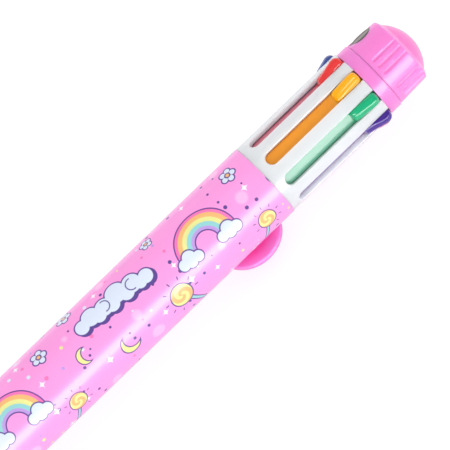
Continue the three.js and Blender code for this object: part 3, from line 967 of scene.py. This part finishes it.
def make_cap():
    """The cap: a knob with fine grooves on five flanks, a chamfer and a domed end."""
    spigot = SPIGOT_BORE - PLAY
    hollow = spigot - 1
    taper = 0.22
    dome_radius = CAP_RADIUS * 0.79
    dome_curve = (dome_radius ** 2 + DOME_RISE ** 2) / (2 * DOME_RISE)
    knee = DOME_PLACE - 0.6
    start = CAP_LOW + 0.1
    flank = [(CAP_LOW, CAP_RADIUS - 0.1), (start, CAP_RADIUS)]
    flank += [(start + (knee - start) * i / 34, CAP_RADIUS - taper * i / 34) for i in range(1, 34)]
    shoulder = [(knee, CAP_RADIUS - taper), (DOME_PLACE, dome_radius)]
    turns = [i / 18 * asin(dome_radius / dome_curve) for i in range(17, -1, -1)]
    dome = [(PEN_TOP - dome_curve * (1 - cos(turn)), dome_curve * sin(turn)) for turn in turns]
    soft = rounded([(0, 0), *shoulder, dome[1]], 0.16, 4)
    knob = turned("ribbed_cap", [
        (CAP_SPIGOT_LOW, hollow), (CAP_SPIGOT_LOW, spigot), (CAP_LOW, spigot),
        *rounded([(0, 0), *flank[:3]], 0.05, 3)[1:-4],
        *flank[2:], *soft[1:-5], *dome[1:], (PEN_TOP - 1.5, 0), (DOME_PLACE - 1.5, hollow),
    ], sides=540)
    for vertex in knob.data.vertices:
        place = (vertex.co.x - NOSE_END) / MM
        across, height = vertex.co.y, vertex.co.z - AXIS
        radius = hypot(across, height) / MM
        if place > CAP_LOW + 0.5 and radius > dome_radius:
            pressed = grooved(place, radius, atan2(across, height)) / radius
            vertex.co.y = across * pressed
            vertex.co.z = AXIS + height * pressed
    seats = ("badge flat", BADGE_SEAT, BADGE_TOP), ("badge pocket", BADGE_RADIUS + PLAY, BADGE_FLOOR)
    for name, radius, floor in seats:
        deselect()
        bpy.ops.mesh.primitive_cylinder_add(
            vertices=72, radius=radius * MM, depth=3 * MM,
            location=at(BADGE_PLACE, floor + 1.5), rotation=(0, 0, radians(1.3)),
        )
        knob = combined(knob, turned_to(settled(name), BADGE_ANGLE), "DIFFERENCE")
    return smoothed(knob, 40)


def make_badge():
    """The badge: a dished disc with a raised rim."""
    badge = circle("round_badge", 72, BADGE_RADIUS, location=at(BADGE_PLACE, BADGE_FLOOR + FIT))
    editing(badge)
    rim_rise, sunk = 0.08, 0.08
    extrude((0, 0, (BADGE_TOP - sunk - BADGE_FLOOR - FIT - rim_rise) * MM))
    rim = ((0.04, 0.055), (0.05, 0.025), (0.28, 0), (0.08, -0.1))
    dish = ((0.5, 0), (0.9, 0.03))
    for inward, upward in rim + dish:
        bpy.ops.mesh.inset(thickness=inward * MM, depth=upward * MM)
    tidied(badge)
    return smoothed(turned_to(badge, BADGE_ANGLE), 30)


# The clip


def make_clip():
    """The clip: an arm that widens into a flat disc, with a well rounded edge."""
    meet = asin(CLIP_HALF / DISC_RADIUS)
    arc = [meet + (tau - 2 * meet) * i / 96 for i in range(97)]
    outline = [(CLIP_TOP, -CLIP_HALF), (CLIP_TOP, CLIP_HALF)]
    outline += [(DISC_PLACE + DISC_RADIUS * cos(turn), DISC_RADIUS * sin(turn)) for turn in arc]
    plate = drawn("clip_plate", [at(place, CLIP_INNER, across) for place, across in outline])
    editing(plate)
    bpy.ops.mesh.edge_face_add()
    extrude((0, 0, CLIP_THICKNESS * MM))
    tidied(plate)
    modified(plate, "BEVEL", width=0.5 * MM, segments=6, limit_method="ANGLE", angle_limit=radians(50))
    root_low = (BARREL_TOP + COLLAR_TOP) / 2 - 0.9
    root = block(
        "clip root", (root_low, -CLIP_HALF, SPIGOT_BORE + 0.1), (CLIP_TOP, CLIP_HALF, CLIP_RADIUS), 0.12,
    )
    return smoothed(turned_to(combined(plate, root, "UNION"), pi))


# What moves inside: sliders, refills and springs


def head_sections():
    """The push head: a rising bar with a round end, soft shoulders and a slim rib on top."""
    base = STEM_OUTER - 0.15
    toe = (
        (0, 0.4, 6.25), (0.06, 0.6, 6.5), (0.15, 0.74, 6.75),
        (0.28, 0.85, 6.98), (0.42, 0.92, 7.12), (0.6, 0.97, 7.24),
    )
    stations = [(ahead, SLIDER_HALF * share, top) for ahead, share, top in toe]
    low, length = 7.36, 3.3
    slope = (HEAD_RADIUS - 0.02 - low) / length
    stations += [(0.9 + length * i / 8, SLIDER_HALF, low + slope * length * i / 8) for i in range(9)]
    for i in range(1, 13):
        around = i / 13 * pi / 2
        ahead = 4.5 + 1.2 * sin(around)
        half = SLIDER_HALF * (0.35 + 0.65 * cos(around) ** 0.6)
        stations.append((ahead, half, HEAD_RADIUS - 1.5 * (1 - cos(around) ** 0.75)))
    sections = []
    for ahead, half, top in stations:
        share = min(1, max(0, (top - 7.05) / 0.6))
        edge = half * 0.72
        rib, rib_rise = 0.2, 0.09 * share * half / SLIDER_HALF
        shoulder = top - rib_rise - 0.2 * share
        corners = [Vector(point) for point in (
            (half, base), (half, base + (top - base) * 0.62), (edge, shoulder),
            (rib + 0.1, top - rib_rise - 0.02), (rib * 0.8, top), (0, top),
        )]
        points = [corners[0]]
        for soft, around in ((0.25, 1), (0.2, 2), (0.06, 3), (0.08, 4)):
            points += soft_corner(*corners[around - 1:around + 2], soft, 4)
        side = [point.to_tuple() for point in points]
        sections.append((HEAD_LOW + ahead, [*side, *[(-x, y) for x, y in reversed(side)]]))
    return sections


def make_slider():
    """A slider: a bar with wings under the slot's edges, a head, a boss, a pin and a lug."""
    half = SLIDER_HALF
    stem = block("slider stem", (STEM_LOW, -half, STEM_INNER), (STEM_TOP, half, STEM_OUTER), 0.14)
    wings = block(
        "slider wings", (STEM_LOW + 0.2, -WING_HALF, STEM_OUTER - 0.7),
        (BARREL_TOP - 3.2, WING_HALF, STEM_OUTER - 0.15), 0.1,
    )
    head = lofted("slider head", head_sections())
    boss = ring(STEM_LOW, STEM_LOW + 1.6, 0, SPRING_OUTER - FIT)
    shoulder = turned("slider shoulder", boss, sides=32, soft=0.1, height=REFILL_RING)
    pin_radius = TUBE_BORE - 0.22
    pin = turned("slider pin", [
        (SLIDER_LOW, 0), (SLIDER_LOW, 0.36), (SLIDER_LOW + 0.3, pin_radius),
        (STEM_LOW + 0.1, pin_radius), (STEM_LOW + 0.1, 0),
    ], sides=24, soft=0.06, height=REFILL_RING)
    inner, top = SPINDLE_RADIUS + 0.45, HEAD_LOW - LUG_GAP
    half = inner * sin(PLACE_PITCH / 2) - 0.3
    lug = block("slider lug", (top - 2, -half, inner), (top, half, STEM_INNER + 0.1), 0.1)
    return smoothed(joined([stem, wings, head, shoulder, pin, lug]))


def make_spindle():
    """The spindle, with a pin in the seat, a ring that catches pushed sliders, and a flange."""
    catch = HEAD_LOW - LUG_GAP - TRAVEL + END_PLAY
    flange = SPIGOT_BORE - PLAY
    radius, pin = SPINDLE_RADIUS, SPINDLE_RADIUS - 0.9
    return smoothed(turned("slider_spindle", [
        (SEAT_LOW - 1, 0), (SEAT_LOW - 1, pin), (SEAT_TOP + FIT, pin), (SEAT_TOP + FIT, radius),
        (catch, radius), (catch, radius + 0.3), (catch + 1.2, radius),
        (BARREL_TOP + PLAY, radius), (BARREL_TOP + PLAY, flange), (CAP_SPIGOT_LOW - FIT, flange),
        (CAP_SPIGOT_LOW - FIT, radius), (COLLAR_TOP + 1.2, radius), (COLLAR_TOP + 1.2, 0),
    ], sides=96, soft=0.12))


def make_seat():
    disc = ring(SEAT_LOW + FIT, SEAT_TOP, SPINDLE_RADIUS - 0.8, BARREL_BORE - FIT)
    seat = turned("spring_seat_disc", disc, sides=160, soft=0.12)
    pushed_lean = asin(REFILL_RING / REFILL_LENGTH)
    pushed_ring = REFILL_RING - (STEM_LOW - TRAVEL - SEAT_LOW) * tan(pushed_lean)
    hole = TUBE_RADIUS + 0.18
    cutter = turned("seat hole", [
        (SEAT_LOW - 1, 0), (SEAT_LOW - 1, hole), (SEAT_TOP - 0.12, hole),
        (SEAT_TOP + 0.3, hole + 0.42), (SEAT_TOP + 0.3, 0),
    ], sides=40, height=(SEAT_RING + pushed_ring) / 2)
    return smoothed(combined(seat, joined(all_round(cutter)), "DIFFERENCE"))


def leant(piece):
    """Moves a piece from its own line at the nose's end to the top slider's refill."""
    place = Matrix.Translation(at(STEM_LOW, REFILL_RING)) @ Matrix.Rotation(-REFILL_LEAN, 4, "Y")
    piece.data.transform(place @ Matrix.Translation(-at(0)))
    return piece


def make_tube():
    wall = ring(POINT_LENGTH + FIT - REFILL_LENGTH, -0.1, TUBE_BORE, TUBE_RADIUS)
    return smoothed(leant(turned("refill tube", wall, sides=40, soft=0.06, steps=3)))


def make_point():
    """The brass point: a ball in a slim nose, a cone, a shoulder and a plug for the tube."""
    tip = -REFILL_LENGTH
    back = tip + POINT_LENGTH - FIT
    ball = 0.35
    turns = [radians(15 * i) for i in range(6)]
    end = [(tip + ball * (1 - cos(turn)), ball * sin(turn)) for turn in turns]
    body, plug = TUBE_RADIUS, TUBE_BORE - 0.06
    point = turned("refill point", [
        *end, (tip + 0.34, 0.36), (tip + 2, 0.4), (tip + 2.06, 0.5), (tip + 2.5, 0.62),
        (back - 1.3, body - 0.12), (back - 1.2, body - 0.2), (back - 1.1, body - 0.2),
        (back - 1.0, body - 0.06), (back - 0.9, body), (back, body), (back, plug),
        (back + 2.8, plug), (back + 3, TUBE_BORE - 0.2), (back + 3, 0),
    ], sides=40)
    return smoothed(leant(point), 30)


SPRING_CURLS = 12


def make_spring():
    """A return spring: round wire in a coil whose end curls lie close together."""
    high = -0.1 - WIRE_RADIUS
    low = 0.1 + WIRE_RADIUS - SPRING_LENGTH / cos(REFILL_LEAN)
    spring = circle(
        "return spring", 10, WIRE_RADIUS, fill="NOTHING",
        location=at(low, SPRING_MEAN), rotation=(pi / 2, 0, 0),
    )
    spring.data.transform(Matrix.Translation(-at(0)))
    modified(
        spring, "SCREW", axis="X", angle=tau, iterations=SPRING_CURLS, steps=28, render_steps=28,
        screw_offset=(high - low) / SPRING_CURLS * MM, use_smooth_shade=True,
    )
    closed = 0.052 * (high - low) * MM
    for vertex in spring.data.vertices:
        share = (vertex.co.x / MM - low) / (high - low)
        if 0 < share < 1:
            vertex.co.x -= closed * sin(tau * share)
    spring.data.transform(Matrix.Translation(at(0)))
    editing(spring)
    bpy.ops.mesh.select_all(action="DESELECT")
    bpy.ops.mesh.select_non_manifold()
    bpy.ops.mesh.fill_holes(sides=0)
    tidied(spring)
    return smoothed(leant(spring), 50)


dressed(make_barrel(), white_plastic, "barrel")
dressed(make_film(), printed_film(), "print_sleeve")
dressed(make_nose(), pink_plastic, "nose_cone", "nose")
dressed(make_collar(), pink_plastic, "clip_collar")
dressed(make_cap(), pink_plastic, "end_cap")
dressed(make_badge(), badge_finish(), "cap_badge")
dressed(make_clip(), clip_plastic, "pocket_clip", "clip")
dressed(make_spindle(), natural_plastic, "slider_core")
dressed(make_seat(), natural_plastic, "spring_seat")

# The sliders tilt inward about their pins, as deep as their heads lie
patterns = {
    "push_slider": make_slider(), "ink_tube": make_tube(),
    "writing_point": make_point(), "wound_spring": make_spring(),
}
for colour, (steps, sink, head, stem) in SLIDERS.items():
    slider, tube, point, spring = (copied(patterns[name], f"{name}_{colour}") for name in patterns)
    turned_about(slider, at(SLIDER_LOW, REFILL_RING), asin(sink / (STEM_TOP - SLIDER_LOW)), "Y")
    for piece in (slider, tube, point, spring):
        turned_to(piece, steps * PLACE_PITCH)
    body, refill = f"slider_{colour}", f"refill_{colour}"
    dressed(slider, slider_plastic_with_painted_bar_light(colour, head, stem), body, body)
    dressed(tube, refill_plastic(colour, head), f"refill_tube_{colour}", refill)
    dressed(point, brass, f"refill_point_{colour}", refill)
    dressed(spring, spring_steel, f"return_spring_{colour}")
    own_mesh(spring)
for pattern in patterns.values():
    bpy.data.objects.remove(pattern)

# A white table as low as the lifted clip reaches, clear from below and to what lies close by
CLIP_DROP = 3.6 * MM
deselect()
bpy.ops.mesh.primitive_plane_add(size=3, location=(0, 0, -CLIP_DROP))
table = settled("table")
table_white, look, shader = new_material("white table", Roughness=0.7)
grain = look.noise(look.place(), 120)
white = look.over(screen(246, 246, 247), screen(250, 250, 251), grain)
rays = look.add("ShaderNodeLightPath").outputs
seen = rays["Is Camera Ray"]
look.feed(shader.inputs["Base Color"], look.over(white, screen(170, 170, 170), seen))
shader.inputs["Emission Color"].default_value = (1, 1, 1, 1)
look.feed(shader.inputs["Emission Strength"], look.times(seen, 0.7))
from_below = look.add("ShaderNodeNewGeometry").outputs["Backfacing"]
close_by = look.maths("LESS_THAN", rays["Ray Length"], 1.6 * CLIP_DROP)
look.feed(shader.inputs["Alpha"], look.minus(1.0, look.most(from_below, close_by)))
table.data.materials.append(table_white)

# Even light from all round, and soft lamps
world = bpy.data.worlds.new("soft room")
world.use_nodes = True
bpy.context.scene.world = world
world.node_tree.nodes.clear()
look = Finish(world.node_tree)
rays = look.add("ShaderNodeLightPath").outputs
room = look.add("ShaderNodeBackground", (1, 1, 1, 1))
backdrop = look.scaled(rays["Is Camera Ray"], 0.05, 0.95)
gloss = look.times(rays["Is Glossy Ray"], 0.75)
look.feed(room.inputs["Strength"], look.minus(backdrop, gloss))
look.feed(look.add("ShaderNodeOutputWorld").inputs[0], room.outputs[0])


def lamp(name, side, distance, length, width, watts):
    """A soft lamp that faces the pen from an angle round it, toward +Y from the top."""
    light = bpy.data.lights.new(name, "AREA")
    light.shape = "RECTANGLE"
    light.size, light.size_y, light.energy = length, width, watts
    hung = linked(name, light)
    turn = Matrix.Rotation(-radians(side), 4, "X")
    middle = Matrix.Translation((0.02, 0, AXIS))
    hung.matrix_world = middle @ turn @ Matrix.Translation((0, 0, distance))
    return hung


lamp("low side lamp", -76, 0.6, 1.2, 0.3, 1.1)
lamp("top lamp", -10, 0.9, 1.2, 0.9, 0.6)
lamp("far side lamp", 70, 0.6, 1.2, 0.3, 0.35)
strip = lamp("strip that the gloss mirrors", -80.5, 0.6, 1.2, 0.26, 7)
strip.visible_diffuse = False

# The camera looks at the pen as the photograph does
away = Vector((0, -sin(FACING), cos(FACING)))
toward = (away * cos(TIP_BACK) - Vector((1, 0, 0)) * sin(TIP_BACK)).normalized()
along = (Vector((1, 0, 0)) - toward * toward.x).normalized()
across = toward.cross(along)
right = along * cos(ROLL) - across * sin(ROLL)
up = along * sin(ROLL) + across * cos(ROLL)
middle = Vector((0.028, 0, AXIS)) - across * 0.78 * MM
camera_data = bpy.data.cameras.new("camera")
camera_data.sensor_width = 36
camera_data.lens = LENS
camera = linked("camera", camera_data)
turn = Matrix((right, up, toward)).transposed().to_4x4()
camera.matrix_world = Matrix.Translation(middle + toward * CAMERA_DISTANCE) @ turn
camera_data.clip_end = 10
bpy.context.scene.camera = camera
bpy.context.scene.view_settings.view_transform = "Standard"
